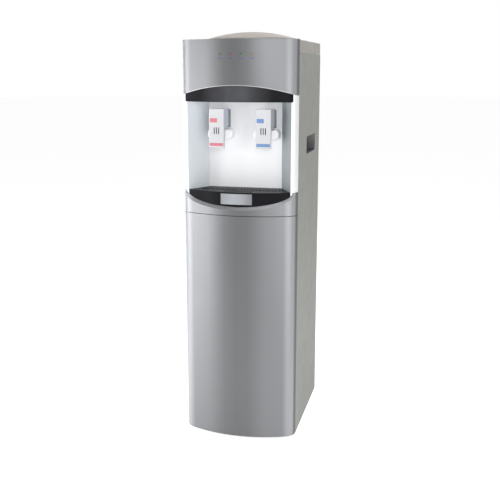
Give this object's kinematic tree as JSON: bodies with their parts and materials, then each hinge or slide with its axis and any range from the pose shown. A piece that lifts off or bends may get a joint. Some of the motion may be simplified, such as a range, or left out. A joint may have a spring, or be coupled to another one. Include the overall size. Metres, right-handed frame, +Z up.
{
  "type": "bottom load water cooler",
  "caption": "Free-standing bottom load water cooler: bowed door over a bottle bay, open dispensing recess with hot and cold paddle taps and a pull-out drip tray, round lid on top.",
  "frame": {"origin": "on the floor under the middle of the cabinet's overall width and depth", "axes": "+X to the right seen from the front, +Y to the back, +Z up; the door faces -Y"},
  "size_m": [0.31, 0.388, 1.0963],
  "materials": {
    "silver_door": "satin",
    "silver_fascia": "satin silver",
    "panel_grey": "satin",
    "cap_grey": "fine grain",
    "white_plastic": "gloss",
    "tap_white": "gloss",
    "black_gloss": "gloss",
    "black_plastic": "satin",
    "grey_plastic": "satin",
    "satin_inlay": "satin",
    "red_mark": "satin",
    "blue_mark": "satin",
    "lens": "clear",
    "steel": "brushed",
    "zinc_steel": "zinc coat",
    "black_enamel": "satin",
    "foam": "foam",
    "copper": "drawn",
    "circuit": "solder mask",
    "silicone": "satin",
    "rubber": "matte",
    "magnet": "matte"
  },
  "bodies": {
    "cabinet": {"base_pan": "zinc_steel", "feet": "rubber", "left_side_panel": "panel_grey", "right_side_panel": "panel_grey", "left_grip_cup": "grey_plastic", "right_grip_cup": "grey_plastic", "rear_panel": "zinc_steel", "rear_screws": "steel", "bay_frame": "grey_plastic", "bottle_tray": "grey_plastic", "machine_shelf": "zinc_steel", "tank_shelf": "zinc_steel", "lower_hinge": "steel", "upper_hinge": "steel", "lower_fascia": "silver_fascia", "upper_fascia": "silver_fascia", "visor": "black_gloss", "indicator_board": "circuit", "indicator_lenses": "lens", "recess_housing": "white_plastic", "paddle_pins": "steel", "top_cover": "cap_grey", "cold_tank": "steel", "tank_insulation": "foam", "evaporator_coil": "copper", "hot_tank": "steel", "pump": "grey_plastic", "control_board": "circuit", "compressor": "black_enamel", "compressor_grommets": "rubber", "filter_drier": "copper", "condenser_tube": "black_enamel", "condenser_wires": "black_enamel", "condenser_mounts": "black_plastic", "suction_hose": "silicone", "suction_probe": "white_plastic", "probe_clip": "grey_plastic", "water_hoses": "silicone", "return_line": "copper", "switch_bezel": "black_plastic", "drain_port": "white_plastic", "cord_gland": "black_plastic", "hot_faucet": "tap_white", "cold_faucet": "tap_white", "hot_spring": "steel", "cold_spring": "steel"},
    "door": {"door_shell": "silver_door", "door_liner": "grey_plastic", "door_magnet": "magnet"},
    "tray": {"drip_tray": "black_gloss", "tray_inlay": "satin_inlay"},
    "grille": {"drip_grille": "black_plastic"},
    "lid": {"top_lid": "cap_grey"},
    "hot_lever": {"hot_paddle": "tap_white", "hot_marks": "red_mark"},
    "cold_lever": {"cold_paddle": "tap_white", "cold_marks": "blue_mark"},
    "hot_rocker": {"hot_switch": "red_mark"},
    "cold_rocker": {"cold_switch": "black_plastic"},
    "plug": {"drain_plug": "rubber"}
  },
  "joints": [
    {"name": "door_swing", "type": "hinge", "parent": "cabinet", "child": "door", "pos_m": [-0.14, -0.157, 0.3], "axis": [0, 0, -1], "range_deg": [0, 110]},
    {"name": "tray_slide", "type": "slide", "parent": "cabinet", "child": "tray", "axis": [0, -1, 0], "range_m": [0, 0.12]},
    {"name": "grille_lift", "type": "slide", "parent": "tray", "child": "grille", "axis": [0, 0, 1], "range_m": [0, 0.03]},
    {"name": "lid_lift", "type": "slide", "parent": "cabinet", "child": "lid", "axis": [0, 0, 1], "range_m": [0, 0.05]},
    {"name": "hot_tap", "type": "hinge", "parent": "cabinet", "child": "hot_lever", "pos_m": [-0.063, -0.127, 0.886], "axis": [1, 0, 0], "range_deg": [0, 12], "stiffness_Nm_per_rad": 0.4, "springref_deg": -8.59, "deforming": ["hot_spring"]},
    {"name": "cold_tap", "type": "hinge", "parent": "cabinet", "child": "cold_lever", "pos_m": [0.063, -0.127, 0.886], "axis": [1, 0, 0], "range_deg": [0, 12], "stiffness_Nm_per_rad": 0.4, "springref_deg": -8.59, "deforming": ["cold_spring"]},
    {"name": "hot_switch_rock", "type": "hinge", "parent": "cabinet", "child": "hot_rocker", "pos_m": [-0.105, 0.1597, 0.985], "axis": [-1, 0, 0], "range_deg": [0, 16]},
    {"name": "cold_switch_rock", "type": "hinge", "parent": "cabinet", "child": "cold_rocker", "pos_m": [-0.079, 0.1597, 0.985], "axis": [-1, 0, 0], "range_deg": [0, 16]},
    {"name": "plug_pull", "type": "slide", "parent": "cabinet", "child": "plug", "axis": [0, 1, 0], "range_m": [0, 0.025]}
  ]
}
